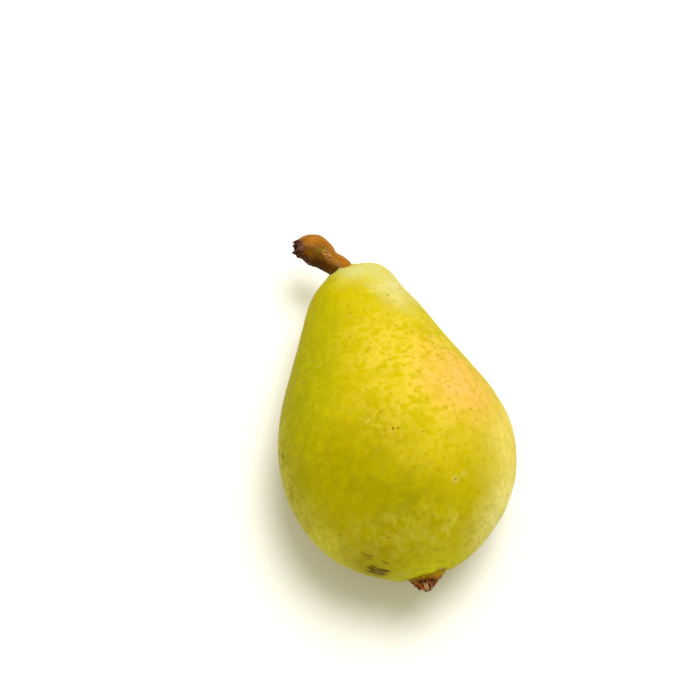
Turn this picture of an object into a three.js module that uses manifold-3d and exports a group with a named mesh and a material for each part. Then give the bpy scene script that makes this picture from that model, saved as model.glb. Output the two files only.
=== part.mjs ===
// A pear lying on its side: the fruit, its stem, and at the blossom end the dried calyx with its stamens.
// Millimetres, +Z up. The origin is the middle of the small flat spot that the fruit rests on, right under
// its weight. The stem end points to +Y and the blossom end to -Y.
// Each piece is shaped in the fruit's own frame: y runs up the core from the blossom end to the stem end,
// and z points away from the side that the fruit lies on.
import * as THREE from 'three';
import { mergeVertices } from 'three/addons/utils/BufferGeometryUtils.js';
import Module from 'manifold-3d';

const wasm = await Module();
wasm.setup();

// ---- driving dimensions ------------------------------------------------------------------------------

const lying = {
  tilt: 4.5, // degrees: the stem end lies a little lower than the blossom end
  restAlong: 41.0, // along the core, from the blossom end to right over the rest spot
  restDepth: 31.7, // from the core down to the rest spot
};

const gap = 0.3; // clear space between neighbouring pieces

const fruit = {
  aroundSteps: 52,
  alongSteps: 40,
  // Half outline: distance from the core, height up the core.
  outline: [
    [0, 1.5], [2.6, 1.2], [5.0, 0.5], [8.6, 1.2], [13.9, 3.5], [19.5, 7.2], [25.5, 13.2], [30.1, 21.8],
    [32.1, 32.5], [30.6, 43.2], [26.8, 52.8], [21.8, 62.8], [17.0, 72.2], [13.4, 78.7], [10.6, 83.2],
    [7.0, 86.2], [3.4, 87.4], [0, 87.7],
  ],
  // Soft swellings and hollows that take the fruit out of round: middle, reach and shift of the skin there.
  swells: [
    { where: 'right shoulder', at: [8.5, 85.2, 0], reach: 11, shift: [0.6, 1.0, 0] },
    { where: 'left shoulder', at: [-7.5, 85, 0], reach: 10, shift: [1.0, -0.3, 0] },
    { where: 'left flank', at: [-26.8, 54, 0], reach: 26, shift: [-1, 0, 0] },
    { where: 'right flank', at: [26.8, 54, 0], reach: 26, shift: [-1, 0, 0] },
    { where: 'left haunch', at: [-23, 10.5, 0], reach: 20, shift: [-0.4, -0.3, 0] },
    { where: 'right haunch', at: [23, 10.5, 0], reach: 20, shift: [-0.4, 0.2, 0] },
    { where: 'under the haunches', at: [0, 20, -29.3], reach: 30, shift: [0, 0, 0.9] },
    { where: 'under the waist', at: [0, 56, -25.3], reach: 38, shift: [0, 0, -2.2] },
    { where: 'upper belly', at: [9, 30, 30.4], reach: 30, shift: [0.2, 0, 0.7] },
    { where: 'upper neck', at: [-8, 66, 18.4], reach: 22, shift: [0, 0, -0.6] },
  ],
};

const stem = {
  aroundSteps: 20,
  alongSteps: 22,
  // The middle line, from the root inside the fruit to the broken end.
  line: [
    [-0.8, 84.9, -0.5], [-1.3, 87.6, 0], [-2.6, 89.4, 0.3], [-4.1, 91.0, 0.8], [-5.5, 92.9, 1.5],
    [-7.3, 94.8, 2.4], [-9.6, 95.8, 3.4], [-11.6, 96.0, 4.3],
  ],
  // Thickness: share of the length, radius there.
  radii: [
    [0, 2.5], [0.08, 2.9], [0.18, 3.3], [0.3, 3.1], [0.42, 3.15], [0.56, 3.9], [0.7, 4.3], [0.84, 3.6],
    [0.95, 2.7], [1, 2.3],
  ],
  endHollow: 0.6, // depth of the ragged hollow where it snapped off the branch
  toothHeight: 0.9, // the most that its edge stands up
};

const calyx = {
  foot: [-1.4, 2.2, 0], // middle of its underside, in a shallow seat in the blossom end
  aroundSteps: 30,
  // Half outline of the fleshy cup: distance from its middle, height over its foot, away from the fruit.
  cup: [
    [0, 0], [4.1, 0], [4.6, 0.9], [5.0, 1.8], [4.7, 2.4], [4.1, 2.9], [3.3, 3.1], [2.4, 2.7], [1.9, 1.7],
    [1.0, 1.5], [0, 1.5],
  ],
  sepals: 5,
  sepalLength: 4.2, // of the longest; all are withered back by different amounts
  sepalWidth: 3.8,
  sepalTip: 1.0,
  sepalThick: 0.75,
  ringRadius: 3.6, // of the ring that the sepals grow on
  rootHeight: 1.6, // of their roots, sunk in the cup
};

const stamens = {
  count: 11,
  seatHeight: 1.8, // of the seat's underside over the calyx's foot
  // Half outline of the seat and the withered styles that rise from its middle.
  seat: [[0, 0], [1.5, 0], [1.5, 0.7], [0.9, 1.3], [0.6, 2.4], [0, 2.6]],
  ringRadius: 1.05, // of the ring that the threads grow on
  thick: 0.62,
  length: 3.9, // of the longest
};

const colours = {
  skin: 0xc9bd1e,
  stem: 0x7d4a10,
  calyx: 0x8a5a1c,
  stamens: 0x4a1f12,
};

// ---- shared helpers ----------------------------------------------------------------------------------

const vec = (p) => new THREE.Vector3(...p);
const wave = (turns) => Math.sin(turns * 2 * Math.PI);

// Random numbers from 0 to 1 that come out the same each time.
function randomFrom(seed) {
  let state = seed;
  return () => {
    state = (state * 16807) % 2147483647;
    return state / 2147483647;
  };
}

// A closed geometry as a solid that can be cut and joined.
function solidOf(geometry) {
  const bare = new THREE.BufferGeometry();
  bare.setAttribute('position', geometry.getAttribute('position'));
  bare.setIndex(geometry.index);
  const merged = mergeVertices(bare, 1e-4);
  const corners = merged.index.array;
  const triVerts = [];
  for (let i = 0; i < corners.length; i += 3) {
    const [a, b, c] = corners.slice(i, i + 3);
    if (a !== b && b !== c && c !== a) triVerts.push(a, b, c);
  }
  return new wasm.Manifold(new wasm.Mesh({
    numProp: 3,
    vertProperties: new Float32Array(merged.getAttribute('position').array),
    triVerts: new Uint32Array(triVerts),
  }));
}

function geometryOf(solid) {
  const { vertProperties, triVerts } = solid.getMesh();
  const geometry = new THREE.BufferGeometry();
  geometry.setAttribute('position', new THREE.BufferAttribute(vertProperties, 3));
  geometry.setIndex(new THREE.BufferAttribute(triVerts, 1));
  geometry.computeVertexNormals();
  return geometry;
}

// Moves every vertex by move(point), which changes the point in place.
function reshape(geometry, move) {
  const position = geometry.getAttribute('position');
  const point = new THREE.Vector3();
  for (let i = 0; i < position.count; i += 1) {
    point.fromBufferAttribute(position, i);
    move(point);
    position.setXYZ(i, point.x, point.y, point.z);
  }
  return geometry;
}

// Full at the middle of a swelling and nothing at its reach, with a smooth slope between.
function swellShare(distance, reach) {
  const t = Math.max(0, 1 - distance / reach);
  return t * t * (3 - 2 * t);
}

// A smooth curve through [place, value] pairs, read at one place.
function smoothRead(pairs, place) {
  const points = pairs.map(([p, v]) => new THREE.Vector2(p, v));
  const last = points.length - 1;
  const next = Math.min(last, Math.max(1, points.findIndex((p) => p.x >= place)));
  const from = points[next - 1];
  const share = (place - from.x) / (points[next].x - from.x);
  return new THREE.SplineCurve(points).getPoint((next - 1 + share) / last).y;
}

function namedMesh(name, solid, colour, roughness) {
  const material = new THREE.MeshStandardMaterial({ color: colour, roughness, metalness: 0 });
  const mesh = new THREE.Mesh(geometryOf(solid), material);
  mesh.name = name;
  return mesh;
}

// ---- the lying pear's place --------------------------------------------------------------------------

const pear = new THREE.Group();
pear.rotation.x = -THREE.MathUtils.degToRad(lying.tilt);
pear.position.set(0, lying.restAlong, -lying.restDepth).applyEuler(pear.rotation).negate();
pear.updateMatrixWorld(true);

// ---- stem --------------------------------------------------------------------------------------------

// A turned club, bent along the stem's line, with a ragged broken end. It may be made thicker all round.
function stemSolid(extra = 0) {
  const line = new THREE.CatmullRomCurve3(stem.line.map(vec));
  const length = line.getLength();
  const outline = [new THREE.Vector2(0, -extra)];
  for (let i = 0; i <= stem.alongSteps; i += 1) {
    const share = i / stem.alongSteps;
    const y = i === 0 ? -extra : share * length;
    outline.push(new THREE.Vector2(smoothRead(stem.radii, share) + extra, y));
  }
  outline.push(new THREE.Vector2(stem.radii.at(-1)[1] / 2, length - stem.endHollow));
  outline.push(new THREE.Vector2(0, length - stem.endHollow / 2));

  const random = randomFrom(23);
  const teeth = Array.from({ length: stem.aroundSteps }, () => stem.toothHeight * random());
  const club = reshape(new THREE.LatheGeometry(outline, stem.aroundSteps), (p) => {
    const share = p.y / length;
    const turn = Math.atan2(p.x, p.z) / (2 * Math.PI);
    const tooth = teeth.at(Math.round(turn * stem.aroundSteps) % stem.aroundSteps);
    const rim = THREE.MathUtils.smoothstep(share, 0.96, 1) * Math.min(1, Math.hypot(p.x, p.z));
    const knobs = 1 + 0.05 * wave(3 * turn + share) + 0.035 * wave(5 * turn - 1.7 * share);
    p.set(p.x * knobs, p.y + tooth * rim, p.z * knobs);
  });

  const steps = 200;
  const frames = line.computeFrenetFrames(steps, false);
  return solidOf(reshape(club, (p) => {
    const { x, y, z } = p;
    const share = THREE.MathUtils.clamp(y / length, 0, 1);
    const step = Math.round(share * steps);
    line.getPointAt(share, p)
      .addScaledVector(frames.tangents[step], y - share * length)
      .addScaledVector(frames.normals[step], x)
      .addScaledVector(frames.binormals[step], -z);
  }));
}

// ---- calyx -------------------------------------------------------------------------------------------

// The cup's outline, turned round the calyx's own axis and made larger by extra all round.
function cupSolid(extra = 0) {
  const outline = calyx.cup.map(([r, h]) => new THREE.Vector2(r > 0 ? r + extra : 0, h > 0 ? h : -extra));
  return solidOf(onBlossomEnd(new THREE.LatheGeometry(outline, calyx.aroundSteps)));
}

// One dried sepal: a pointed leaf that stands on the ring and closes in over the eye.
function sepalSolid(turn, random) {
  const { sepalLength, sepalWidth, sepalTip, sepalThick } = calyx;
  const long = sepalLength * (0.75 + 0.25 * random());
  const rootLean = 0.1 + 0.1 * random();
  const tipLean = 0.35 + 0.15 * random();
  const sideways = 0.25 * (random() - 0.5);
  const blade = new THREE.BoxGeometry(1, 1, sepalThick, 4, 5, 1).translate(0, 0.5, 0);
  reshape(blade, (p) => {
    const along = p.y;
    const width = THREE.MathUtils.lerp(sepalWidth, sepalTip, along ** 1.4);
    const lean = THREE.MathUtils.lerp(rootLean, tipLean, along);
    const across = p.x * width;
    const hollow = 0.14 * across * across * (1 - along);
    const outwards = calyx.ringRadius - Math.sin(lean) * along * long + p.z * Math.cos(lean) - hollow;
    const height = calyx.rootHeight + Math.cos(lean) * along * long + p.z * Math.sin(lean);
    p.set(across + sideways * along * long, height, outwards);
  });
  return solidOf(onBlossomEnd(blade.rotateY(turn)));
}

// Takes a geometry whose y is the height over the calyx's foot to its place on the fruit.
function onBlossomEnd(geometry) {
  return geometry.rotateX(Math.PI).translate(...calyx.foot);
}

function calyxSolid() {
  const random = randomFrom(41);
  let whole = cupSolid();
  for (let i = 0; i < calyx.sepals; i += 1) {
    const turn = (i + 0.2 * (random() - 0.5)) / calyx.sepals * 2 * Math.PI;
    whole = whole.add(sepalSolid(turn, random));
  }
  return whole;
}

// ---- stamens -----------------------------------------------------------------------------------------

// A tuft of withered threads, rooted in a ring on a small round seat in the calyx's eye.
function stamensSolid() {
  const { count, seatHeight, ringRadius, thick, length } = stamens;
  const random = randomFrom(7);
  const outline = stamens.seat.map(([r, h]) => new THREE.Vector2(r, seatHeight + h));
  let whole = solidOf(onBlossomEnd(new THREE.LatheGeometry(outline, 16)));
  for (let i = 0; i < count; i += 1) {
    const long = length * (0.7 + 0.3 * random());
    const sideways = 0.5 * (random() - 0.5);
    const thread = new THREE.CylinderGeometry(thick * 0.6, thick / 2, long, 6, 4).translate(0, long / 2, 0);
    reshape(thread, (p) => {
      const share = p.y / long;
      const inwards = 0.35 * share * share;
      p.set(p.x + sideways * share * share, p.y + seatHeight + 0.3, p.z + ringRadius - inwards);
    });
    whole = whole.add(solidOf(onBlossomEnd(thread.rotateY((i / count) * 2 * Math.PI))));
  }
  return whole;
}

// ---- fruit -------------------------------------------------------------------------------------------

// Everything under the surface that the pear lies on, in the fruit's frame.
function belowRest() {
  const slab = new THREE.BoxGeometry(200, 200, 50).translate(0, 0, -25);
  return solidOf(slab.applyMatrix4(pear.matrixWorld.clone().invert()));
}

function fruitSolid() {
  const curve = new THREE.SplineCurve(fruit.outline.map(([r, y]) => new THREE.Vector2(r, y)));
  const outline = curve.getSpacedPoints(fruit.alongSteps);
  outline.at(0).x = 0;
  outline.at(-1).x = 0;
  const body = new THREE.LatheGeometry(outline, fruit.aroundSteps);
  fruit.swells.forEach(({ at, reach, shift }) => {
    const middle = vec(at);
    reshape(body, (p) => p.addScaledVector(vec(shift), swellShare(p.distanceTo(middle), reach)));
  });
  return solidOf(body).subtract(stemSolid(gap)).subtract(cupSolid(gap)).subtract(belowRest());
}

pear.add(namedMesh('fruit', fruitSolid(), colours.skin, 0.45));
pear.add(namedMesh('stem', stemSolid(), colours.stem, 0.7));
pear.add(namedMesh('calyx', calyxSolid(), colours.calyx, 0.8));
pear.add(namedMesh('stamens', stamensSolid(), colours.stamens, 0.9));

export default new THREE.Group().add(pear);
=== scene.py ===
import math
import random

import bmesh
import bpy
from mathutils import Euler, Matrix, Vector
from mathutils.geometry import interpolate_bezier


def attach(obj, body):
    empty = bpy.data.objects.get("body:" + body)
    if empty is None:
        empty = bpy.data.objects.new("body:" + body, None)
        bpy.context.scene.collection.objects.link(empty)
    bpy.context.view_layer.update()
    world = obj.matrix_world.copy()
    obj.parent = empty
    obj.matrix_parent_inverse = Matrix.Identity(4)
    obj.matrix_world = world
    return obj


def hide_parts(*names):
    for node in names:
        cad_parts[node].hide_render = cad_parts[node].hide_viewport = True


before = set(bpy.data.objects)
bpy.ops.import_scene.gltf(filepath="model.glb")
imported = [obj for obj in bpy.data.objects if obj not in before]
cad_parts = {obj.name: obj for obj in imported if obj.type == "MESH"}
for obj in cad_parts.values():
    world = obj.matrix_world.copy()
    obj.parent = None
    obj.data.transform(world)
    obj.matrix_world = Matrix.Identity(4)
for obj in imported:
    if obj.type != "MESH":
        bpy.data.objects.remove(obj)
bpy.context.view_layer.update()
bpy.ops.object.select_all(action="DESELECT")
print("frame loaded:", ", ".join(sorted(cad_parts)))

mm = 0.001  # sizes below are in millimetres

# Pieces are shaped in the fruit's own frame, as it grew: y runs up the core from the blossom end to the
# stem end, z points away from the side it lies on. layDown then puts them on the surface.
lying = {"tilt": math.radians(4.5), "restAlong": 41.0, "restDepth": 31.7}


# Small tools for shaping

def smoothLine(points, stepsEach=8):
    points = [Vector(p) for p in points]
    ends = [points[0], *points, points[-1]]
    line = []
    for before, start, stop, after in zip(ends, ends[1:], ends[2:], ends[3:]):
        leave = start + (stop - before) / 6
        arrive = stop - (after - start) / 6
        line += interpolate_bezier(start, leave, arrive, stop, stepsEach + 1)[:-1]
    return line + [points[-1]]


def evenSteps(line, step):
    even = [line[0]]
    walked = 0.0
    for start, stop in zip(line, line[1:]):
        length = (stop - start).length
        while walked + length >= step * len(even):
            even.append(start.lerp(stop, (step * len(even) - walked) / length))
        walked += length
    if (even[-1] - line[-1]).length < step / 2:
        even.pop()
    return even + [line[-1]]


def onlyThis(piece):
    bpy.ops.object.select_all(action="DESELECT")
    bpy.context.view_layer.objects.active = piece
    piece.select_set(True)


def openEdit(piece):
    onlyThis(piece)
    bpy.ops.object.mode_set(mode="EDIT")
    bpy.ops.mesh.select_all(action="SELECT")


def closeEdit():
    bpy.ops.object.mode_set(mode="OBJECT")


def pickVerts(piece, test):
    mesh = bmesh.from_edit_mesh(piece.data)
    bpy.ops.mesh.select_all(action="DESELECT")
    for vert in mesh.verts:
        vert.select = test(vert.co)
    mesh.select_flush(True)
    bmesh.update_edit_mesh(piece.data)


def drawLine(name, points):
    # a chain of edges drawn from point to point, left open in edit mode
    bpy.ops.object.select_all(action="DESELECT")
    bpy.ops.mesh.primitive_plane_add(size=mm)
    piece = bpy.context.object
    piece.name = name
    bpy.ops.object.mode_set(mode="EDIT")
    bpy.ops.mesh.select_all(action="SELECT")
    bpy.ops.mesh.merge(type="CENTER")
    bpy.ops.transform.translate(value=points[0])
    for start, stop in zip(points, points[1:]):
        bpy.ops.mesh.extrude_region_move(TRANSFORM_OT_translate={"value": stop - start})
    return piece


def spinClosed(steps, axis):
    bpy.ops.mesh.select_all(action="SELECT")
    bpy.ops.mesh.spin(steps=steps, angle=2 * math.pi, center=(0, 0, 0), axis=axis)
    bpy.ops.mesh.select_all(action="SELECT")
    bpy.ops.mesh.remove_doubles(threshold=0.01 * mm)
    bpy.ops.mesh.normals_make_consistent(inside=False)


def swell(piece, place, reach, shift):
    # pulls the nearest point, and its neighbours less and less out to the reach
    mesh = bmesh.from_edit_mesh(piece.data)
    bpy.ops.mesh.select_all(action="DESELECT")
    target = Vector(place) * mm
    min(mesh.verts, key=lambda vert: (vert.co - target).length_squared).select = True
    bmesh.update_edit_mesh(piece.data)
    bpy.ops.transform.translate(
        value=Vector(shift) * mm,
        use_proportional_edit=True,
        proportional_edit_falloff="SMOOTH",
        proportional_size=reach * mm,
    )


def applied(piece, kind, **settings):
    onlyThis(piece)
    modifier = piece.modifiers.new(kind.title(), kind)
    for name, value in settings.items():
        setattr(modifier, name, value)
    bpy.ops.object.modifier_apply(modifier=modifier.name)


def smoothMesh(piece, levels):
    applied(piece, "SUBSURF", levels=levels, render_levels=levels)


def roughen(piece, grain, height, depth=2):
    # natural unevenness: grain is the size of the bumps, height how far they stand up
    texture = bpy.data.textures.new(piece.name + "Grain", "CLOUDS")
    texture.noise_scale = grain * mm
    texture.noise_depth = depth
    applied(piece, "DISPLACE", texture=texture, texture_coords="LOCAL", strength=height * mm, mid_level=0.5)


def readCurve(pairs, place):
    # the value at a place along a list of (place, value)
    for (start, low), (stop, high) in zip(pairs, pairs[1:]):
        if place <= stop:
            return low + (high - low) * (place - start) / (stop - start)
    return pairs[-1][1]


def joined(name, pieces):
    onlyThis(pieces[0])
    for piece in pieces:
        piece.select_set(True)
    bpy.ops.object.join()
    pieces[0].name = name
    return pieces[0]


def tube(name, points, radii, sides):
    # a bevelled curve through the points, made a mesh
    shape = bpy.data.curves.new(name, "CURVE")
    shape.dimensions = "3D"
    shape.bevel_depth = 1.0
    shape.bevel_resolution = sides // 2 - 2
    shape.use_fill_caps = True
    line = shape.splines.new("POLY")
    line.points.add(len(points) - 1)
    for dot, point, radius in zip(line.points, points, radii):
        dot.co = (*(Vector(point) * mm), 1)
        dot.radius = radius * mm
    piece = bpy.data.objects.new(name, shape)
    bpy.context.collection.objects.link(piece)
    onlyThis(piece)
    bpy.ops.object.convert(target="MESH")
    piece = bpy.context.object
    openEdit(piece)
    bpy.ops.mesh.remove_doubles(threshold=0.01 * mm)
    bpy.ops.mesh.normals_make_consistent(inside=False)
    closeEdit()
    return piece


def turned(piece, rotation, place=(0, 0, 0)):
    # turns a piece, then moves it, and leaves its object at the origin
    piece.rotation_euler = rotation
    piece.location = Vector(place) * mm
    onlyThis(piece)
    bpy.ops.object.transform_apply(location=True, rotation=True, scale=True)


def layDown(piece):
    turn = Matrix.Rotation(-lying["tilt"], 3, "X")
    turned(piece, (-lying["tilt"], 0, 0), turn @ Vector((0, -lying["restAlong"], lying["restDepth"])))


def finished(piece, node, material):
    onlyThis(piece)
    bpy.ops.object.shade_smooth()
    piece.data.materials.clear()
    piece.data.materials.append(material)
    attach(piece, "root")
    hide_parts(node)
    print("made", piece.name, "with", len(piece.data.polygons), "faces")


# Small tools for materials

def paint(red, green, blue):
    # a colour as a screen shows it, 0 to 255, made linear for the shader
    return tuple(((value / 255 + 0.055) / 1.055) ** 2.4 for value in (red, green, blue)) + (1,)


def addNode(tree, kind, inputs=None, **settings):
    made = tree.nodes.new("ShaderNode" + kind)
    for name, value in settings.items():
        setattr(made, name, value)
    for name, value in (inputs or {}).items():
        if isinstance(value, bpy.types.NodeSocket):
            tree.links.new(value, made.inputs[name])
        else:
            made.inputs[name].default_value = value
    return made


def calc(tree, operation, *values):
    return addNode(tree, "Math", dict(enumerate(values)), operation=operation).outputs[0]


def fade(tree, value, none, full):
    # 0 at the first value, 1 at the second, smooth between
    inputs = {"Value": value, "From Min": none, "From Max": full}
    return addNode(tree, "MapRange", inputs, interpolation_type="SMOOTHSTEP").outputs[0]


def layer(tree, under, over, mask):
    return addNode(tree, "Mix", {0: mask, 6: under, 7: over}, data_type="RGBA").outputs[2]


def growthPlace(tree):
    # object coordinates turned back into the fruit's own frame, in millimetres
    local = addNode(tree, "TexCoord").outputs["Object"]
    inputs = {
        "Vector": local,
        "Location": (0, lying["restAlong"], -lying["restDepth"]),
        "Rotation": (lying["tilt"], 0, 0),
        "Scale": (1 / mm, 1 / mm, 1 / mm),
    }
    return addNode(tree, "Mapping", inputs).outputs[0]


def newGroup(name, inputs, outputs):
    group = bpy.data.node_groups.new(name, "ShaderNodeTree")
    for label, kind, value in inputs:
        socket = group.interface.new_socket(label, in_out="INPUT", socket_type="NodeSocket" + kind)
        socket.default_value = value
    for label in outputs:
        group.interface.new_socket(label, in_out="OUTPUT", socket_type="NodeSocketFloat")
    return group, group.nodes.new("NodeGroupInput").outputs, group.nodes.new("NodeGroupOutput").inputs


def useGroup(tree, group, **inputs):
    made = addNode(tree, "Group", node_tree=group)
    for name, value in inputs.items():
        label = name[0].upper() + name[1:]
        if isinstance(value, bpy.types.NodeSocket):
            tree.links.new(value, made.inputs[label])
        else:
            made.inputs[label].default_value = value
    return made.outputs


def makePatches():
    # soft irregular patches of a given size
    group, given, result = newGroup(
        "softPatches",
        [
            ("Place", "Vector", (0, 0, 0)),
            ("Stretch", "Vector", (1, 1, 1)),
            ("Size", "Float", 3.0),
            ("None", "Float", 0.45),
            ("Full", "Float", 0.6),
            ("Detail", "Float", 1.2),
        ],
        ["Mask"],
    )
    stretched = addNode(group, "VectorMath", {0: given["Place"], 1: given["Stretch"]}, operation="MULTIPLY")
    scale = calc(group, "DIVIDE", 1.0, given["Size"])
    inputs = {"Vector": stretched.outputs[0], "Scale": scale, "Detail": given["Detail"]}
    noise = addNode(group, "TexNoise", inputs).outputs[0]
    group.links.new(fade(group, noise, given["None"], given["Full"]), result["Mask"])
    return group


def makeVeins():
    # thin wandering lines, where a noise crosses its middle value
    group, given, result = newGroup(
        "thinVeins",
        [
            ("Place", "Vector", (0, 0, 0)),
            ("Stretch", "Vector", (1, 1, 1)),
            ("Size", "Float", 3.0),
            ("Width", "Float", 0.03),
        ],
        ["Mask"],
    )
    stretched = addNode(group, "VectorMath", {0: given["Place"], 1: given["Stretch"]}, operation="MULTIPLY")
    scale = calc(group, "DIVIDE", 1.0, given["Size"])
    inputs = {"Vector": stretched.outputs[0], "Scale": scale, "Detail": 1.5}
    noise = addNode(group, "TexNoise", inputs).outputs[0]
    offMiddle = calc(group, "ABSOLUTE", calc(group, "SUBTRACT", noise, 0.5))
    group.links.new(fade(group, offMiddle, given["Width"], 0.0), result["Mask"])
    return group


def shakenPlace(tree, place, grain, reach):
    # places shifted to and fro, so that what is laid there gets uneven edges
    noise = addNode(tree, "TexNoise", {"Vector": place, "Scale": 1 / grain, "Detail": 2.0}).outputs["Color"]
    noise = addNode(tree, "VectorMath", {0: noise, 1: (0.5, 0.5, 0.5)}, operation="SUBTRACT").outputs[0]
    inputs = {0: noise, 1: (reach, reach, reach), 2: place}
    return addNode(tree, "VectorMath", inputs, operation="MULTIPLY_ADD").outputs[0]


def makeDots():
    # scattered round dots of uneven size
    group, given, result = newGroup(
        "scatteredDots",
        [
            ("Place", "Vector", (0, 0, 0)),
            ("Spacing", "Float", 2.4),
            ("Radius", "Float", 0.3),
        ],
        ["Mask"],
    )
    scale = calc(group, "DIVIDE", 1.0, given["Spacing"])
    cells = addNode(group, "TexVoronoi", {"Vector": given["Place"], "Scale": scale})
    luck = addNode(group, "SeparateColor", {0: cells.outputs["Color"]}).outputs[0]
    distance = calc(group, "MULTIPLY", cells.outputs["Distance"], given["Spacing"])
    radius = calc(group, "MULTIPLY", given["Radius"], fade(group, luck, 0.15, 1.0))
    group.links.new(fade(group, distance, radius, calc(group, "MULTIPLY", radius, 0.3)), result["Mask"])
    return group


def makeMark():
    # one rounded mark: 1 in its middle, 0 outside it; each side is a way divided by the half size along it
    group, given, result = newGroup(
        "singleMark",
        [
            ("Place", "Vector", (0, 0, 0)),
            ("Centre", "Vector", (0, 0, 0)),
            ("SideX", "Vector", (1, 0, 0)),
            ("SideY", "Vector", (0, 1, 0)),
            ("SideZ", "Vector", (0, 0, 1)),
            ("Edge", "Float", 0.6),
        ],
        ["Mask"],
    )
    ends = {0: given["Place"], 1: given["Centre"]}
    offset = addNode(group, "VectorMath", ends, operation="SUBTRACT").outputs[0]
    shares = {}
    for i, side in enumerate(("SideX", "SideY", "SideZ")):
        share = addNode(group, "VectorMath", {0: offset, 1: given[side]}, operation="DOT_PRODUCT")
        shares[i] = share.outputs["Value"]
    inMark = addNode(group, "CombineXYZ", shares).outputs[0]
    distance = addNode(group, "VectorMath", {0: inMark}, operation="LENGTH").outputs["Value"]
    group.links.new(fade(group, distance, 1.0, given["Edge"]), result["Mask"])
    return group


def markAt(tree, place, centre, size, edge, turn=(0, 0, 0)):
    # a mark with these half sizes, turned about its middle
    ways = Euler(turn).to_matrix().transposed()
    x, y, z = (way / half for way, half in zip(ways, size))
    return useGroup(tree, mark, place=place, centre=centre, sideX=x, sideY=y, sideZ=z, edge=edge)["Mask"]


patches = makePatches()
veins = makeVeins()
dots = makeDots()
mark = makeMark()


# Fruit

fruit = {
    "aroundSteps": 144,
    "alongStep": 1.0,
    "outline": [  # distance from the core, height up the core
        (0, 1.5), (2.6, 1.2), (5.0, 0.5), (8.6, 1.2), (13.9, 3.5), (19.5, 7.2), (25.5, 13.2),
        (30.1, 21.8), (32.1, 32.5), (30.6, 43.2), (26.8, 52.8), (21.8, 62.8), (17.0, 72.2),
        (13.4, 78.7), (10.6, 83.2),
        (7.0, 86.2), (3.4, 87.4), (0, 87.7),
    ],
    "swells": [  # place, reach, shift
        ((8.5, 85.2, 0), 11, (0.6, 1.0, 0)),  # right shoulder
        ((-7.5, 85, 0), 10, (1.0, -0.3, 0)),  # left shoulder
        ((-26.8, 54, 0), 26, (-1, 0, 0)),  # left flank
        ((26.8, 54, 0), 26, (-1, 0, 0)),  # right flank
        ((-23, 10.5, 0), 20, (-0.4, -0.3, 0)),  # left haunch
        ((23, 10.5, 0), 20, (-0.4, 0.2, 0)),  # right haunch
        ((0, 20, -29.3), 30, (0, 0, 0.9)),  # under the haunches
        ((0, 56, -25.3), 38, (0, 0, -2.2)),  # under the waist
        ((9, 30, 30.4), 30, (0.2, 0, 0.7)),  # upper belly
        ((-8, 66, 18.4), 22, (0, 0, -0.6)),  # upper neck
    ],
    "lumps": (16, 0.7),  # size and height of the broad unevenness
    "dimples": (3.2, 0.12),
    "puckers": {  # little folds round the calyx
        "middle": (-1.4, 1.0, 0),
        "distances": (6.6, 8.8),
        "count": 13,
        "height": 0.3,
        "reach": 2.2,
    },
    "lip": {  # and where the stem leaves
        "middle": (-1.2, 87.0, 0),
        "distances": (3.9,),
        "count": 11,
        "height": 0.5,
        "reach": 1.5,
    },
}

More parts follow.
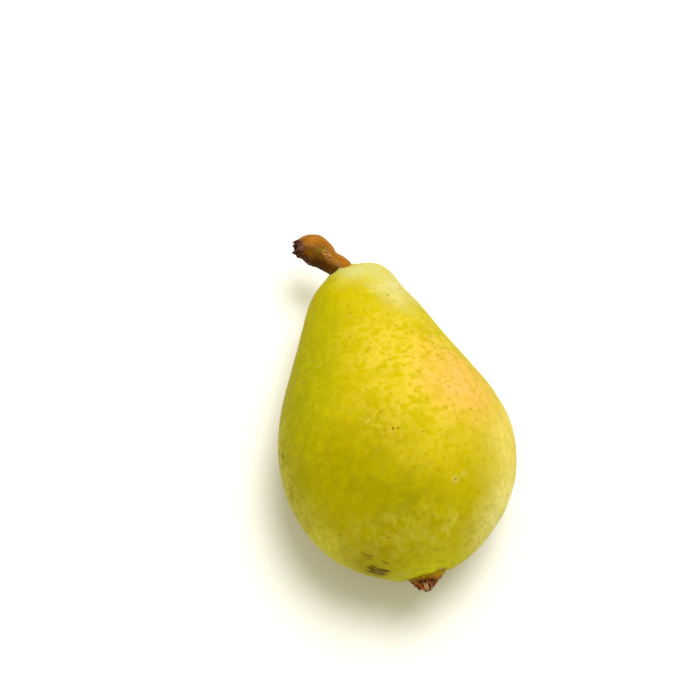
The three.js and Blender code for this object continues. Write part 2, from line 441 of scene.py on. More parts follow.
skin = {
    "base": paint(188, 170, 4),
    "shakes": {"drift": (9, 8), "ragged": (0.6, 0.9), "frayed": (0.7, 0.7)},  # grain and reach
    "washes": [  # broad changes of colour, some of them painted light and shade: middle, half sizes, turn about z in degrees, colour, strength
        ((-22, 48, 12), (21, 50, 26), -13, paint(152, 152, 0), 0.9),  # greener shaded side: the skin's green, darkened as painted shade
        ((-8, 35, 28), (21, 17, 20), 22, paint(156, 142, 0), 0.8),  # golden belly
        ((-14, 28.5, 26), (14, 12.5, 16), 0, paint(158, 146, 0), 0.7),  # olive left of the belly: the skin's olive, darkened as painted shade
        ((-3.5, 20, 26), (18, 13, 17), 0, paint(134, 129, 0), 0.7),  # painted shade under the belly, in the skin's olive hue
        ((0.6, 9, 20), (10, 6, 10), 0, paint(184, 176, 0), 0.7),  # olive toward the calyx
        ((0.5, 2, 4), (24, 11.5, 20), 2, paint(228, 224, 24), 0.9),  # painted light from the floor: pale low blossom end
        ((-25.5, 15.5, 3), (12.5, 20, 24), 2, paint(240, 234, 72), 0.85),  # painted light from the floor: pale low left haunch
        ((29, 23, 11), (17, 32, 23), 0, paint(234, 212, 108), 0.9),  # painted reflection: cream along the right rim
        ((21.5, 9.5, 5), (16.5, 18, 22), -1, paint(250, 242, 146), 0.85),  # painted light from the floor: pale low right haunch
        ((15.5, 4.5, 8), (9, 5.5, 10), 0, paint(248, 230, 110), 0.7),  # more painted floor light just below it
        ((20.7, 44.5, 19), (18.5, 19, 20.5), 0, paint(208, 166, 64), 0.7),  # blush
        ((14, 58, 20), (3.5, 11, 8), -12, paint(190, 160, 5), 0.8),  # gold beside the blush
        ((12, 77, 9), (10, 15, 13), -18, paint(204, 197, 132), 0.9),  # painted highlight: pale right side of the neck
        ((3.6, 85, 8), (13, 9, 12), -2, paint(194, 194, 124), 0.9),  # painted highlight: pale crown
        ((-9, 76, 10), (7, 12, 9), 0, paint(172, 166, 0), 0.8),  # green beside the stem
    ],
    "blush": ((18.5, 46.5, 21), (15, 17, 20), paint(232, 172, 98), 0.78),
    "blushInHoles": 0.25,  # its share in the veil's holes
    "zones": {  # middle and half sizes
        "freckled": ((10, 50, 20), (27, 38, 32)),
        "netted": ((-8, 11, 20), (26, 11, 20)),
        "streaked": ((8, 9, 20), (16, 8, 12)),
        "leftRim": ((-33, 30, 2), (12, 38, 22)),
        "leftFlank": ((-20, 50, 14), (14, 28, 22)),
        "rightRim": ((34, 18, 8), (22, 34, 28)),
        "crown": ((6, 85, 8), (18, 15, 16)),
    },
    "evenSides": {"rightRim": 0.15, "crown": 0.3},  # what is left there of the dark mottling
    "mottles": [  # size, stretch, none, full, paint, zone, strength outside the zone and in it
        (3.0, (1, 1, 1), 0.42, 0.66, "straw", "freckled", 0.26, 0.15),
        (2.4, (1, 1.2, 1), 0.48, 0.64, "gold", "freckled", 0.12, 0.3),
        (1.7, (1, 1.1, 1), 0.52, 0.66, "olive", "freckled", 0.24, 0.1),
        (1.5, (1, 0.5, 0.6), 0.46, 0.62, "pale", "netted", 0.0, 0.26),
        (3.6, (1.2, 0.5, 0.8), 0.45, 0.62, "pale", "netted", 0.0, 0.26),
        (1.7, (1, 0.35, 0.6), 0.5, 0.68, "pale", "streaked", 0.0, 0.52),
        # pale patches along the left rim: painted sheen
        (2.8, (1, 0.9, 0.35), 0.3, 0.56, "pale", "leftRim", 0.0, 0.75),
        (1.2, (1, 1, 0.35), 0.52, 0.64, "olive", "leftRim", 0.06, 0.55),
        (6.0, (1, 1, 1), 0.45, 0.65, "olive", "netted", 0.14, 0.25),
    ],
    "veil": {  # a pale veil over the freckled side, with small holes and larger openings
        "paint": "cream",
        "strengths": (0.0, 0.55),
        "holes": {"size": 1.9, "none": 0.44, "full": 0.64, "detail": 1.0},
        "openings": {"size": 5.0, "none": 0.4, "full": 0.75},
    },
    "veinGaps": {"size": 2.6, "none": 0.5, "full": 0.62},
    "veins": [  # size, stretch, width, paint, zone, strength outside the zone and in it
        (2.6, (1, 0.5, 1), 0.03, "pale", "leftFlank", 0.06, 0.4),
    ],
    "lenticels": {"spacing": 2.1, "radius": 0.78},
    "lenticelStrengths": (0.32, 0.6),  # outside the freckled zone and in it
    "darkDots": {"spacing": 5.2, "radius": 0.42},
    "darkDotStrength": 0.25,
    "scarWear": {"size": 0.9, "none": 0.38, "full": 0.54, "detail": 2.0},
    "scarWorn": 0.4,  # how much of a scar wears off
    "scratches": [  # from, to, half the thickness, strength
        ((-15.6, 5.7, 7.4), (-11.4, 3.2, 6.9), 1.0, 0.9),
        ((-16.0, 6.3, 8.8), (-12.0, 4.4, 8.4), 0.8, 0.7),
        ((-16.4, 6.3, 9.0), (-13.4, 4.4, 8.3), 0.45, 1.0),
        ((-17.1, 5.9, 6.7), (-13.2, 3.7, 5.7), 0.5, 1.0),
        ((-14.8, 4.9, 7.4), (-11.8, 2.9, 5.4), 0.6, 1.0),
        ((-14.0, 5.2, 9.6), (-10.1, 3.1, 8.8), 0.5, 1.0),
        ((-15.7, 6.3, 9.9), (-13.5, 5.4, 10.7), 0.38, 0.95),
        ((-15.7, 5.8, 8.4), (-11.6, 3.6, 7.6), 0.35, 0.9),
        ((-15.2, 4.5, 4.6), (-12.4, 3.2, 5.0), 0.35, 0.7),
        ((-12.5, 6.6, 14.3), (-10.0, 4.8, 13.0), 0.32, 0.75),
        ((-16.7, 10.0, 15.8), (-15.5, 8.5, 14.8), 0.4, 0.6),
        ((-15.9, 8.9, 14.9), (-13.7, 7.8, 15.3), 0.35, 0.6),
        ((-16.0, 8.3, 13.7), (-14.3, 7.4, 13.7), 0.35, 0.5),
        ((-3.0, 84.0, 9.4), (-5.2, 83.2, 9.3), 0.2, 0.5),
        ((-5.2, 83.2, 9.3), (-6.6, 81.9, 9.5), 0.2, 0.45),
        ((-4.3, 84.3, 8.5), (-6.6, 83.3, 8.0), 0.15, 0.4),
        ((6.0, 52.0, -28.3), (9.0, 50.5, -28.0), 0.3, 0.8),
        ((7.0, 54.0, -27.1), (9.5, 53.4, -26.5), 0.25, 0.6),
        ((-29.0, 24.0, -10.0), (-29.5, 22.5, -7.0), 0.3, 0.8),
        ((-29.9, 26.0, -9.0), (-30.2, 24.6, -6.5), 0.25, 0.7),
        ((30.9, 35.0, -8.0), (31.7, 33.0, -5.0), 0.25, 0.7),
        ((21.7, 60.0, -6.0), (23.1, 58.0, -4.0), 0.2, 0.6),
    ],
    "marks": [  # single marks: middle, half sizes, turn about z in degrees, paint, strength
        ((2.6, 0.7, 3.0), (3.6, 1.5, 4.2), 0, "flesh", 0.95),
        ((-6.0, 0.9, 2.0), (2.4, 1.0, 3.0), 0, "flesh", 0.5),
        ((8.6, 74.9, 13.0), (0.55, 0.25, 0.5), 0, "speck", 0.9),
        ((9.7, 72.8, 13.5), (0.3, 0.3, 0.4), 0, "speck", 0.7),
        ((-0.4, 37.1, 32.3), (0.5, 0.42, 0.8), 0, "scar", 0.8),
        ((0.8, 36.8, 32.4), (0.42, 0.36, 0.8), 0, "scar", 0.8),
        ((-30.0, 40.7, 9.9), (0.8, 1.3, 1.2), 0, "scar", 0.8),
        ((11.9, 20.6, 27.6), (1.5, 1.5, 1.7), 0, "fleck", 0.18),
        ((11.8, 20.7, 27.6), (0.4, 0.45, 0.6), 0, "speck", 0.9),
        ((14.4, 21.7, 26.8), (1.3, 1.2, 1.5), 0, "fleck", 0.12),
        ((15.9, 8.4, 13.2), (0.4, 0.45, 0.5), 0, "rust", 1.0),
        ((17.2, 9.0, 12.5), (0.35, 0.35, 0.4), 0, "speck", 0.8),
        ((-8.7, 11.0, 22.0), (0.55, 0.45, 0.6), 0, "speck", 0.7),
        ((-20.8, 15.5, 17.4), (0.55, 0.55, 0.6), 0, "speck", 0.6),
        ((-5.5, 14.9, 26.3), (0.4, 0.4, 0.5), 0, "speck", 0.6),
        ((-10.8, 8.6, 18.3), (0.45, 0.35, 0.5), 0, "speck", 0.6),
        ((17.4, 53.1, 20.1), (0.4, 0.4, 0.5), 0, "speck", 0.5),
        ((17.8, 49.6, 22.0), (0.35, 0.35, 0.5), 0, "speck", 0.5),
        ((21.7, 34.7, 24.1), (0.4, 0.4, 0.5), 0, "speck", 0.7),
        ((6.9, 34.4, 32.0), (0.45, 0.4, 0.6), 0, "speck", 0.6),
        ((-2.9, 71.4, 16.7), (0.5, 0.35, 0.6), 0, "fleck", 0.25),
        ((0.3, 62.6, 21.5), (0.35, 0.3, 0.5), 0, "fleck", 0.35),
        ((-2.2, 57.2, 24.4), (0.4, 0.3, 0.5), 0, "fleck", 0.3),
        ((-14.8, 60.2, 17.5), (0.4, 0.35, 0.5), 0, "fleck", 0.3),
        ((-6.1, 40.9, 30.8), (0.9, 0.4, 1.0), 0, "fleck", 0.25),
        ((-7.6, 1.8, 7.4), (3.4, 1.6, 3.0), 0, "pale", 0.5),
        ((-14.8, 3.9, 3.6), (4.4, 1.6, 3.0), -28, "olive", 0.5),
        ((4.4, 77.0, 13.6), (1.6, 0.8, 1.2), 0, "pale", 0.45),
    ],
    "poreScale": 1.8,  # pores in a millimetre
    "bump": {"Strength": 0.4, "Distance": 0.06 * mm},
    "roughness": (0.38, 0.2),  # at least, and what the pores add
    "gloss": 0.01,
    "glow": {"Weight": 0.15, "Radius": (1.0, 0.6, 0.1), "Scale": 3 * mm},  # light that enters the flesh
    "straw": paint(198, 186, 2),
    "cream": paint(220, 192, 72),
    "pale": paint(210, 202, 74),
    "gold": paint(196, 168, 0),
    "olive": paint(150, 138, 4),
    "lenticel": paint(160, 134, 0),
    "fleck": paint(240, 230, 150),
    "speck": paint(112, 98, 14),
    "scar": paint(96, 68, 0),
    "rust": paint(190, 96, 10),
    "flesh": paint(160, 122, 14),
}


def wrinkle(piece, ring, way):
    # high and low places in turn, in rings round a middle
    for distance in ring["distances"]:
        for number in range(ring["count"]):
            angle = 2 * math.pi * number / ring["count"]
            side = Vector((math.cos(angle), 0, math.sin(angle))) * distance
            height = ring["height"] * (1.0 if number % 2 else -0.2)
            swell(piece, Vector(ring["middle"]) + side, ring["reach"], (0, way * height, 0))


def makeFruit():
    outline = smoothLine([(r, y, 0) for r, y in fruit["outline"]], 12)
    outline = [point * mm for point in evenSteps(outline, fruit["alongStep"])]
    piece = drawLine("pearFruit", outline)
    spinClosed(fruit["aroundSteps"], axis=(0, 1, 0))
    for place, reach, shift in fruit["swells"]:
        swell(piece, place, reach, shift)
    wrinkle(piece, fruit["puckers"], -1)
    wrinkle(piece, fruit["lip"], 1)
    closeEdit()
    smoothMesh(piece, 1)
    roughen(piece, *fruit["lumps"])
    roughen(piece, *fruit["dimples"])
    layDown(piece)
    openEdit(piece)
    pickVerts(piece, lambda place: place.z < 0)
    bpy.ops.transform.resize(value=(1, 1, 0), center_override=(0, 0, 0))
    closeEdit()
    return piece


def skinMaterial():
    material = bpy.data.materials.new("pearSkin")
    material.use_nodes = True
    tree = material.node_tree
    shader = tree.nodes["Principled BSDF"]
    place = growthPlace(tree)
    colour = skin["base"]
    drift, ragged, frayed = (shakenPlace(tree, place, *shake) for shake in skin["shakes"].values())
    for middle, halves, turn, wash, strength in skin["washes"]:
        turn = (0, 0, math.radians(turn))
        washed = markAt(tree, drift, centre=middle, turn=turn, size=halves, edge=0.1)
        colour = layer(tree, colour, wash, calc(tree, "MULTIPLY", washed, strength))

    zones = {}
    for name, (middle, halves) in skin["zones"].items():
        zones[name] = markAt(tree, drift, centre=middle, size=halves, edge=0.2)

    def zone(name, low, high):
        return calc(tree, "MULTIPLY_ADD", zones[name], high - low, low)

    # mottling; the dark kinds fade out where the skin is even
    uneven = calc(tree, "MULTIPLY", *(zone(name, 1.0, left) for name, left in skin["evenSides"].items()))
    for size, stretch, none, full, name, where, low, high in skin["mottles"]:
        grown = {"size": size, "stretch": stretch, "none": none, "full": full}
        mottled = useGroup(tree, patches, place=place, **grown)["Mask"]
        strength = zone(where, low, high)
        if name == "olive":
            strength = calc(tree, "MULTIPLY", strength, uneven)
        colour = layer(tree, colour, skin[name], calc(tree, "MULTIPLY", mottled, strength))
    veil = skin["veil"]
    holes = useGroup(tree, patches, place=place, **veil["holes"])["Mask"]
    openings = useGroup(tree, patches, place=place, **veil["openings"])["Mask"]
    closed = calc(tree, "SUBTRACT", 1.0, calc(tree, "MAXIMUM", holes, openings))
    veiled = calc(tree, "MULTIPLY", closed, zone("freckled", *veil["strengths"]))
    colour = layer(tree, colour, skin[veil["paint"]], veiled)

    gaps = useGroup(tree, patches, place=place, **skin["veinGaps"])["Mask"]
    for size, stretch, width, name, where, low, high in skin["veins"]:
        veined = useGroup(tree, veins, place=place, size=size, stretch=stretch, width=width)["Mask"]
        veined = calc(tree, "MULTIPLY", veined, gaps)
        colour = layer(tree, colour, skin[name], calc(tree, "MULTIPLY", veined, zone(where, low, high)))

    middle, halves, wash, strength = skin["blush"]
    blushed = markAt(tree, drift, centre=middle, size=halves, edge=0.1)
    thinned = calc(tree, "MULTIPLY_ADD", closed, 1 - skin["blushInHoles"], skin["blushInHoles"])
    blushed = calc(tree, "MULTIPLY", blushed, thinned)
    colour = layer(tree, colour, wash, calc(tree, "MULTIPLY", blushed, strength))

    # lenticels: small ochre dots, and fewer dark ones
    spotted = useGroup(tree, dots, place=place, **skin["lenticels"])["Mask"]
    dotted = calc(tree, "MULTIPLY", spotted, zone("freckled", *skin["lenticelStrengths"]))
    dotted = calc(tree, "MULTIPLY", dotted, uneven)
    colour = layer(tree, colour, skin["lenticel"], dotted)
    specked = useGroup(tree, dots, place=place, **skin["darkDots"])["Mask"]
    colour = layer(tree, colour, skin["speck"], calc(tree, "MULTIPLY", specked, skin["darkDotStrength"]))

    # scratches, each from one place to another, and single marks
    scarred = None
    for start, stop, thickness, strength in skin["scratches"]:
        way = Vector(stop) - Vector(start)
        middle = (Vector(start) + Vector(stop)) / 2
        halves = (way.length / 2 + thickness, thickness, 3.5 * thickness)
        turn = way.to_track_quat("X", "Z").to_euler()
        here = markAt(tree, frayed, centre=middle, turn=turn, size=halves, edge=0.4)
        here = calc(tree, "MULTIPLY", here, strength)
        scarred = here if scarred is None else calc(tree, "MAXIMUM", scarred, here)
    unworn = useGroup(tree, patches, place=place, **skin["scarWear"])["Mask"]
    unworn = calc(tree, "MULTIPLY_ADD", unworn, skin["scarWorn"], 1 - skin["scarWorn"])
    scarred = calc(tree, "MULTIPLY", scarred, unworn)
    colour = layer(tree, colour, skin["scar"], scarred)
    for middle, halves, turn, name, strength in skin["marks"]:
        turn = (0, 0, math.radians(turn))
        here = markAt(tree, ragged, centre=middle, turn=turn, size=halves, edge=0.3)
        colour = layer(tree, colour, skin[name], calc(tree, "MULTIPLY", here, strength))

    tree.links.new(colour, shader.inputs["Base Color"])
    # fine pores and the lenticels, felt more than seen
    pores = {"Vector": place, "Scale": skin["poreScale"], "Detail": 3.0}
    pores = addNode(tree, "TexNoise", pores).outputs[0]
    relief = calc(tree, "MULTIPLY_ADD", spotted, 0.15, pores)
    bump = addNode(tree, "Bump", {"Height": relief, **skin["bump"]})
    tree.links.new(bump.outputs[0], shader.inputs["Normal"])
    least, more = skin["roughness"]
    tree.links.new(calc(tree, "MULTIPLY_ADD", pores, more, least), shader.inputs["Roughness"])
    shader.inputs["Specular IOR Level"].default_value = skin["gloss"]
    for name, value in skin["glow"].items():
        shader.inputs["Subsurface " + name].default_value = value
    return material


# Stem

stem = {
    "line": [
        (-0.8, 84.9, -0.5), (-1.3, 87.6, 0), (-2.6, 89.4, 0.3), (-4.1, 91.0, 0.8), (-5.5, 92.9, 1.5),
        (-7.3, 94.6, 2.4), (-9.5, 95.4, 3.4), (-11.7, 95.6, 4.2),
    ],
    "radii": [  # share of the length, radius
        (0, 2.5), (0.08, 2.95), (0.18, 3.3), (0.3, 3.15), (0.42, 3.3), (0.56, 4.0), (0.68, 4.35),
        (0.76, 4.2), (0.84, 3.7), (0.93, 2.85), (1, 2.3),
    ],
    "aroundSteps": 32,
    "alongSteps": 40,
    "end": [(1.9, 0.1), (1.5, -0.35), (0.8, -0.5), (0, -0.3)],  # radius, depth of the broken face
    "ribs": [0.3, 1.5, 2.4, 3.7, 4.6, 5.6],  # where the ribs run, in radians
    "ribHeight": 0.1,
    "teeth": [  # the torn edge: angle in degrees, how far it stands up, how far out
        (8, 0.7, 0.1), (34, -0.5, 0.2), (58, 1.3, -0.2), (76, -0.2, 0.1), (94, 2.6, 0.1),
        (112, 0.2, 0), (136, 1.2, 0.2), (158, -0.6, -0.1), (180, 0.9, 0.2), (203, 1.5, -0.1),
        (226, -0.4, 0), (250, 1.0, 0.2), (275, 0.1, -0.2), (300, 1.6, 0.1), (328, -0.3, 0.1),
    ],
}


def lineLength(line):
    return sum((stop - start).length for start, stop in zip(line, line[1:]))


def makeStem():
    line = smoothLine(stem["line"])
    length = lineLength(line)
    radii = smoothLine([(share, radius, 0) for share, radius in stem["radii"]])
    radii = [(spot.x, spot.y) for spot in radii]
    shares = [step / stem["alongSteps"] for step in range(stem["alongSteps"] + 1)]
    side = [(0, 0)] + [(readCurve(radii, share), share * length) for share in shares]
    side += [(radius, length + depth) for radius, depth in stem["end"]]
    piece = drawLine("pearStem", [Vector((radius, 0, height)) * mm for radius, height in side])
    spinClosed(stem["aroundSteps"], axis=(0, 0, 1))
    for angle in stem["ribs"]:
        way = Vector((math.cos(angle), math.sin(angle), 0))
        pickVerts(piece, lambda spot: spot.xy.length > 1.2 * mm and spot.xy.angle(way.xy) < 0.11)
        bpy.ops.transform.translate(
            value=way * stem["ribHeight"] * mm,
            use_proportional_edit=True,
            proportional_edit_falloff="SMOOTH",
            proportional_size=0.9 * mm,
        )
    for angle, tear, out in stem["teeth"]:
        way = Vector((math.cos(math.radians(angle)), math.sin(math.radians(angle)), 0))
        swell(piece, way * 2.1 + Vector((0, 0, length)), 0.6, way * out + Vector((0, 0, tear)))
    closeEdit()
    smoothMesh(piece, 2)
    grain = piece.data.attributes.new("straightPlace", "FLOAT_VECTOR", "POINT")
    for spot, vert in zip(grain.data, piece.data.vertices):
        spot.vector = vert.co / mm
    guide = drawGuide(line)
    applied(piece, "CURVE", object=guide, deform_axis="POS_Z")
    bpy.data.objects.remove(guide)
    roughen(piece, 2.2, 0.25)
    roughen(piece, 0.5, 0.08)
    layDown(piece)
    return piece


def drawGuide(line):
    shape = bpy.data.curves.new("guide", "CURVE")
    shape.dimensions = "3D"
    path = shape.splines.new("POLY")
    path.points.add(len(line) - 1)
    for dot, point in zip(path.points, line):
        dot.co = (*(point * mm), 1)
    guide = bpy.data.objects.new("guide", shape)
    bpy.context.collection.objects.link(guide)
    return guide


stemPaint = {
    "dark": paint(74, 40, 3),
    "brown": paint(110, 70, 0),
    "ochre": paint(146, 94, 2),
    "orange": paint(170, 104, 3),
    "olive": paint(110, 90, 2),
    "end": paint(62, 20, 8),
    "crumb": paint(176, 124, 98),
    "fleck": paint(204, 152, 92),
    "fibres": {"size": 1.0, "stretch": (1, 1, 0.2), "none": 0.35, "full": 0.65},
    "blotches": {"size": 2.6, "stretch": (1, 1, 0.5), "none": 0.3, "full": 0.7},
    "corks": {"size": 0.6, "none": 0.42, "full": 0.56, "detail": 2.0},
    "crumbs": {"size": 0.45, "none": 0.54, "full": 0.62, "detail": 2.0},
    "spots": {"spacing": 1.0, "radius": 0.34},
    "greened": {"centre": (-5.6, 93.3, 6.2), "size": (3.0, 1.3, 2.6), "edge": 0.2},
    "corkBand": {
        "centre": (-3.8, 91.4, 5.0),
        "size": (3.4, 1.4, 3.0),
        "edge": 0.2,
        "turn": (0, 0, math.radians(-62)),
    },
}


def barkMaterial():
    material = bpy.data.materials.new("stemBark")
    material.use_nodes = True
    tree = material.node_tree
    shader = tree.nodes["Principled BSDF"]
    place = growthPlace(tree)
    ragged = shakenPlace(tree, place, 0.7, 0.9)
    straight = addNode(tree, "Attribute", attribute_name="straightPlace").outputs["Vector"]
    across, _, along = addNode(tree, "SeparateXYZ", {0: straight}).outputs
    fibres = useGroup(tree, patches, place=straight, **stemPaint["fibres"])["Mask"]
    blotches = useGroup(tree, patches, place=straight, **stemPaint["blotches"])["Mask"]

    # painted shade and light: darker along the stem's shaded side, lighter along its lit side, broken up by
    # blotches
    across = calc(tree, "MULTIPLY_ADD", blotches, 2.2, calc(tree, "SUBTRACT", across, 1.1))
    colour = layer(tree, stemPaint["dark"], stemPaint["brown"], fade(tree, across, 2.6, 0.8))
    colour = layer(tree, colour, stemPaint["ochre"], fade(tree, across, 0.6, -1.8))
    colour = layer(tree, colour, stemPaint["orange"], fade(tree, across, -1.8, -4.2))
    # the root's orange, kept to the lit side: partly painted light
    rootward = calc(tree, "MULTIPLY", fade(tree, along, 7.5, 3.0), fade(tree, across, 1.6, -0.8))
    colour = layer(tree, colour, stemPaint["orange"], calc(tree, "MULTIPLY", rootward, 0.85))
    greened = markAt(tree, ragged, **stemPaint["greened"])
    colour = layer(tree, colour, stemPaint["olive"], calc(tree, "MULTIPLY", greened, 0.85))
    colour = layer(tree, colour, stemPaint["dark"], calc(tree, "MULTIPLY", fibres, 0.3))

    # a band of corky flecks, and a few more toward the end
    cork = useGroup(tree, patches, place=straight, **stemPaint["corks"])["Mask"]
    flecked = calc(tree, "MULTIPLY", cork, markAt(tree, ragged, **stemPaint["corkBand"]))
    colour = layer(tree, colour, stemPaint["fleck"], calc(tree, "MULTIPLY", flecked, 0.65))
    length = lineLength(smoothLine(stem["line"]))
    spots = useGroup(tree, dots, place=straight, **stemPaint["spots"])["Mask"]
    spots = calc(tree, "MULTIPLY", spots, fade(tree, along, length - 6.0, length - 2.0))
    colour = layer(tree, colour, stemPaint["fleck"], calc(tree, "MULTIPLY", spots, 0.6))

    # the broken end
    torn = calc(tree, "MULTIPLY_ADD", cork, 0.6, calc(tree, "MULTIPLY_ADD", blotches, 0.5, along))
    ended = fade(tree, torn, length - 0.9, length + 0.1)
    colour = layer(tree, colour, stemPaint["end"], ended)
    crumbs = useGroup(tree, patches, place=straight, **stemPaint["crumbs"])["Mask"]
    crumbs = calc(tree, "MULTIPLY", crumbs, ended)
    colour = layer(tree, colour, stemPaint["crumb"], calc(tree, "MULTIPLY", crumbs, 0.55))
    tree.links.new(colour, shader.inputs["Base Color"])

    relief = calc(tree, "MULTIPLY_ADD", flecked, 0.8, fibres)
    relief = calc(tree, "MULTIPLY_ADD", crumbs, 1.5, relief)
    bump = addNode(tree, "Bump", {"Height": relief, "Strength": 0.6, "Distance": 0.15 * mm})
    tree.links.new(bump.outputs[0], shader.inputs["Normal"])
    tree.links.new(calc(tree, "MULTIPLY_ADD", fibres, 0.25, 0.45), shader.inputs["Roughness"])
    shader.inputs["Specular IOR Level"].default_value = 0.12
    return material


# Dried calyx: a fleshy collar with five withered sepals, and the stamens inside

calyx = {
    "foot": (-1.4, 2.2, 0),
    "lean": -0.1,  # radians, toward the left
    "aroundSteps": 60,
    "collar": [  # distance from its middle, height away from the fruit
        (0, 0.4), (4.4, 0.4), (5.7, 0.9), (5.4, 1.6), (4.8, 2.1), (4.3, 2.7), (3.7, 3.2),
        (3.0, 3.2), (2.4, 2.6), (1.8, 2.0), (1.0, 1.7), (0, 1.7),
    ],
    "sepalSides": 4.3,  # width at the root
    "sepalThick": 0.6,
    "sepalRows": [  # distance from the middle, height, share of the width
        (4.6, 1.3, 1.0), (4.4, 2.2, 1.0), (3.9, 3.1, 0.9), (3.2, 3.9, 0.74), (2.5, 4.6, 0.56),
        (2.0, 5.2, 0.36), (1.8, 5.6, 0.16),
    ],
    "sepals": [  # angle in degrees, share of the length, lean outward, from the right and toward the top
        (18, 0.85, 0.25), (88, 0.5, 0.9), (158, 0.95, 0.4), (232, 0.9, 0.3), (305, 0.85, 0.7),
    ],
}


def makeSepal(number, angle, share, lean):
    half = calyx["sepalSides"] / 2
    across = [-1, -0.5, 0, 0.5, 1]
    rows = calyx["sepalRows"]
    first, rootHeight, _ = rows[0]
    chain = [Vector((first - 0.5 * side * side, half * side, rootHeight)) * mm for side in across]
    piece = drawLine("sepal" + str(number), chain)
    bpy.ops.mesh.select_all(action="SELECT")
    for before, after in zip(rows, rows[1:]):
        outward = after[0] - before[0] + lean * 0.3
        upward = (after[1] - before[1]) * share
        step = Vector((outward, 0, upward)) * mm
        bpy.ops.mesh.extrude_region_move(TRANSFORM_OT_translate={"value": step})
        middle = pickedMiddle(piece)
        narrow = after[2] / before[2]
        bpy.ops.transform.resize(value=(narrow, narrow, 1), center_override=middle)
    closeEdit()
    applied(piece, "SOLIDIFY", thickness=calyx["sepalThick"] * mm, offset=-1.0)
    turned(piece, (0, 0, math.radians(angle)))
    return piece


def pickedMiddle(piece):
    mesh = bmesh.from_edit_mesh(piece.data)
    places = [vert.co for vert in mesh.verts if vert.select]
    return sum(places, Vector()) / len(places)


def makeCalyx():
    collar = drawLine("collar", [Vector((r, 0, h)) * mm for r, h in calyx["collar"]])
    spinClosed(calyx["aroundSteps"], axis=(0, 0, 1))
    closeEdit()
    pieces = [collar]
    for number, (angle, share, lean) in enumerate(calyx["sepals"]):
        pieces.append(makeSepal(number, angle, share, lean))
    piece = joined("driedCalyx", pieces)
    openEdit(piece)
    bpy.ops.mesh.normals_make_consistent(inside=False)
    closeEdit()
    smoothMesh(piece, 2)
    turned(piece, (math.pi / 2, 0, calyx["lean"]), calyx["foot"])
    roughen(piece, 1.5, 0.7)
    roughen(piece, 0.5, 0.3)
    layDown(piece)
    return piece


stamens = {
    "count": 16,
    "path": [  # distance from the middle, height, turn about the middle in radians
        (1.3, 1.9, 0), (1.8, 3.0, 0.05), (2.05, 4.0, 0.25), (1.8, 4.9, 0.6), (1.3, 5.6, 1.0),
        (0.6, 6.0, 1.5),
    ],
    "radii": [0.22, 0.23, 0.23, 0.26, 0.28, 0.16],
    "seat": [(0, 0, 1.7), (2.3, 0, 1.7), (1.8, 0, 3.4), (0, 0, 4.8)],
    "seed": 7,
}


def makeStamens():
    luck = random.Random(stamens["seed"])
    threads = []
    for number in range(stamens["count"]):
        start = number * 2 * math.pi / stamens["count"] + luck.uniform(-0.12, 0.12)
        spread = luck.uniform(0.75, 1.1)
        reach = luck.uniform(0.85, 1.02)
        lean = luck.uniform(-0.9, 1.2)
        points = []
        for distance, height, turn in stamens["path"]:
            angle = start + turn * lean
            out = distance * spread
            points.append((out * math.cos(angle), out * math.sin(angle), 1.9 + (height - 1.9) * reach))
        line = smoothLine(points, 4)
        radii = [readCurve(list(enumerate(stamens["radii"])), spot / 4) for spot in range(len(line))]
        threads.append(tube("stamen" + str(number), line, radii, 10))
    seat = drawLine("seat", [Vector(place) * mm for place in stamens["seat"]])
    spinClosed(20, axis=(0, 0, 1))
    closeEdit()
    piece = joined("driedStamens", [seat] + threads)
    turned(piece, (math.pi / 2, 0, calyx["lean"]), calyx["foot"])
    roughen(piece, 0.6, 0.25)
    layDown(piece)
    return piece


calyxPaint = {
    "dark": paint(82, 32, 4),
    "brown": paint(138, 70, 12),
    "flesh": paint(180, 120, 8),
    "skin": paint(176, 148, 10),
    "pale": paint(196, 138, 92),
    "thread": paint(194, 148, 96),
    "tip": paint(132, 118, 52),
    "creases": {"size": 0.8, "stretch": (1, 0.4, 1), "none": 0.38, "full": 0.62},
    "edges": {"size": 1.3, "width": 0.03},
    "streaks": {"size": 1.5, "none": 0.47, "full": 0.57},
    "fleshy": {"centre": (2.8, 0.8, 2.4), "size": (4.9, 3.2, 5.4), "edge": 0.4},
    "inner": {"centre": (-1.4, 0, 0), "size": (5.1, 60, 5.1), "edge": 0.75},
    "hollowShade": (0.4, -1.8),  # heights between which the painted shade on the stamens, low in the collar's hollow, fades out
    "tipped": (-2.6, -3.8),  # and between which their tips turn olive
}


def sepalMaterial():
    material = bpy.data.materials.new("driedSepal")
    material.use_nodes = True
    tree = material.node_tree
    shader = tree.nodes["Principled BSDF"]
    place = growthPlace(tree)
    ragged = shakenPlace(tree, place, 0.9, 1.0)
    creases = useGroup(tree, patches, place=place, **calyxPaint["creases"])["Mask"]
    colour = layer(tree, calyxPaint["dark"], calyxPaint["brown"], creases)
    fleshy = markAt(tree, ragged, **calyxPaint["fleshy"])
    colour = layer(tree, colour, calyxPaint["flesh"], fleshy)
    inner = markAt(tree, ragged, **calyxPaint["inner"])
    colour = layer(tree, calyxPaint["skin"], colour, inner)
    edges = useGroup(tree, veins, place=place, **calyxPaint["edges"])["Mask"]
    edges = calc(tree, "MULTIPLY", edges, calc(tree, "MULTIPLY", inner, 0.35))
    colour = layer(tree, colour, calyxPaint["pale"], edges)
    tree.links.new(colour, shader.inputs["Base Color"])
    bump = addNode(tree, "Bump", {"Height": creases, "Strength": 0.7, "Distance": 0.2 * mm})
    tree.links.new(bump.outputs[0], shader.inputs["Normal"])
    tree.links.new(calc(tree, "MULTIPLY_ADD", creases, 0.2, 0.5), shader.inputs["Roughness"])
    shader.inputs["Specular IOR Level"].default_value = 0.05
    return material


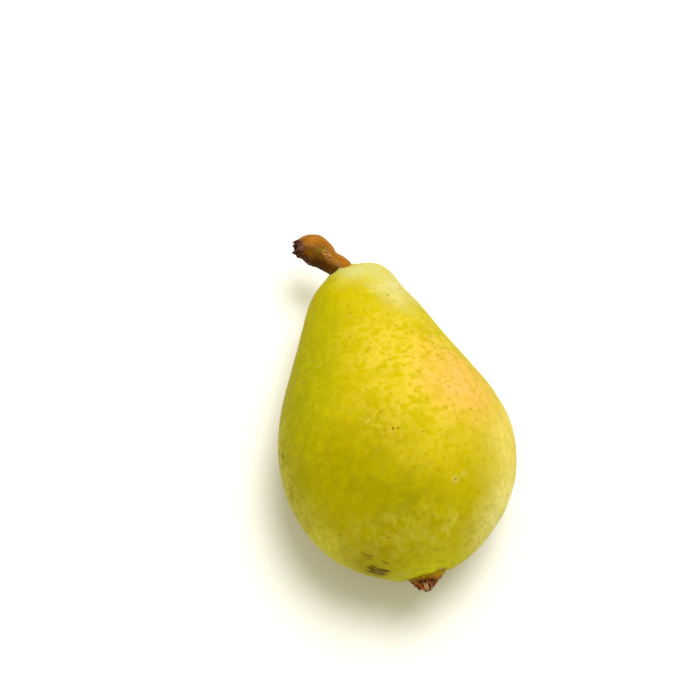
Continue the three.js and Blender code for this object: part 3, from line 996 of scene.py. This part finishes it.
def threadMaterial():
    material = bpy.data.materials.new("driedStamen")
    material.use_nodes = True
    tree = material.node_tree
    shader = tree.nodes["Principled BSDF"]
    place = growthPlace(tree)
    streaks = useGroup(tree, patches, place=place, **calyxPaint["streaks"])["Mask"]
    colour = layer(tree, calyxPaint["brown"], calyxPaint["thread"], streaks)
    height = addNode(tree, "SeparateXYZ", {0: place}).outputs[1]
    # painted shade: the stamens darker low down inside the collar
    colour = layer(tree, calyxPaint["dark"], colour, fade(tree, height, *calyxPaint["hollowShade"]))
    tipped = calc(tree, "MULTIPLY", fade(tree, height, *calyxPaint["tipped"]), 0.7)
    colour = layer(tree, colour, calyxPaint["tip"], tipped)
    tree.links.new(colour, shader.inputs["Base Color"])
    bump = addNode(tree, "Bump", {"Height": streaks, "Strength": 0.5, "Distance": 0.1 * mm})
    tree.links.new(bump.outputs[0], shader.inputs["Normal"])
    tree.links.new(calc(tree, "MULTIPLY_ADD", streaks, 0.2, 0.4), shader.inputs["Roughness"])
    shader.inputs["Specular IOR Level"].default_value = 0.4
    return material


# Stage, light and camera

stageSet = {
    "floorSize": 4.0,  # metres
    "floorPaint": paint(250, 250, 250),
    "floorDrop": 0.00005,  # metres, so that the flat spot doesn't flicker on it
    "skyDim": 0.12,  # strength of the soft light from the far side
    "skyBright": 1.12,  # and from the near side
    "skyFrom": (0.27, 0.6, 0.8),  # where the bright side is
    "skyTint": (1.0, 0.94, 0.42, 1),  # warmth of the dim side
    "skyPaint": (1.0, 0.98, 0.89, 1),  # and of the bright side
    "overheadPlace": (0.23, 0.31, 1.15),  # metres
    "overheadSize": 0.45,  # metres
    "overheadPower": 10.7,  # watts
}

shot = {  # the camera looks down on the lying pear
    "azimuth": -15.28,
    "elevation": 84.5,
    "distance": 0.6281,  # metres
    "target": (-0.00588, 0.02824, 0.032),  # metres
    "lens": 120,
}


def makeFloor():
    bpy.ops.mesh.primitive_plane_add(size=stageSet["floorSize"], location=(0, 0, -stageSet["floorDrop"]))
    floor = bpy.context.object
    floor.name = "floor"
    material = bpy.data.materials.new("paleFloor")
    material.use_nodes = True
    shader = material.node_tree.nodes["Principled BSDF"]
    shader.inputs["Base Color"].default_value = stageSet["floorPaint"]
    shader.inputs["Roughness"].default_value = 0.9
    shader.inputs["Specular IOR Level"].default_value = 0.1
    floor.data.materials.append(material)


def makeLights():
    # a soft sky that is bright on one side, seen as plain white, and one broad lamp overhead
    world = bpy.data.worlds.new("studio")
    world.use_nodes = True
    tree = world.node_tree
    direction = addNode(tree, "TexCoord").outputs["Generated"]
    bright = Vector(stageSet["skyFrom"]).normalized()
    toward = addNode(tree, "VectorMath", {0: direction, 1: bright}, operation="DOT_PRODUCT")
    toward = toward.outputs["Value"]
    sides = {"Value": toward, "To Min": stageSet["skyDim"], "To Max": stageSet["skyBright"]}
    strength = addNode(tree, "MapRange", sides).outputs[0]
    seen = addNode(tree, "LightPath").outputs["Is Camera Ray"]
    strength = addNode(tree, "Mix", {0: seen, 2: strength, 3: 1.0}).outputs[0]
    tree.links.new(strength, tree.nodes["Background"].inputs["Strength"])
    turning = addNode(tree, "MapRange", {"Value": toward}).outputs[0]
    tint = layer(tree, stageSet["skyTint"], stageSet["skyPaint"], turning)
    tint = layer(tree, tint, (1, 1, 1, 1), seen)
    tree.links.new(tint, tree.nodes["Background"].inputs["Color"])
    bpy.context.scene.world = world
    bpy.ops.object.light_add(type="AREA", location=stageSet["overheadPlace"])
    lamp = bpy.context.object
    lamp.name = "overheadLamp"
    lamp.data.shape = "DISK"
    lamp.data.size = stageSet["overheadSize"]
    lamp.data.energy = stageSet["overheadPower"]
    lamp.rotation_euler = Vector(stageSet["overheadPlace"]).to_track_quat("Z", "Y").to_euler()
    lamp.visible_camera = False


def makeCamera():
    turn, rise = math.radians(shot["azimuth"]), math.radians(shot["elevation"])
    back = Vector((math.sin(turn) * math.cos(rise), -math.cos(turn) * math.cos(rise), math.sin(rise)))
    bpy.ops.object.camera_add(location=Vector(shot["target"]) + back * shot["distance"])
    camera = bpy.context.object
    camera.name = "camera"
    camera.rotation_euler = (-back).to_track_quat("-Z", "Y").to_euler()
    camera.data.lens = shot["lens"]
    camera.data.clip_end = 20
    bpy.context.scene.camera = camera


makeCamera()
makeFloor()
makeLights()
bpy.context.scene.view_settings.view_transform = "Standard"
print("stage, light and camera are set")

finished(makeFruit(), "fruit", skinMaterial())
finished(makeStem(), "stem", barkMaterial())
finished(makeCalyx(), "calyx", sepalMaterial())
finished(makeStamens(), "stamens", threadMaterial())
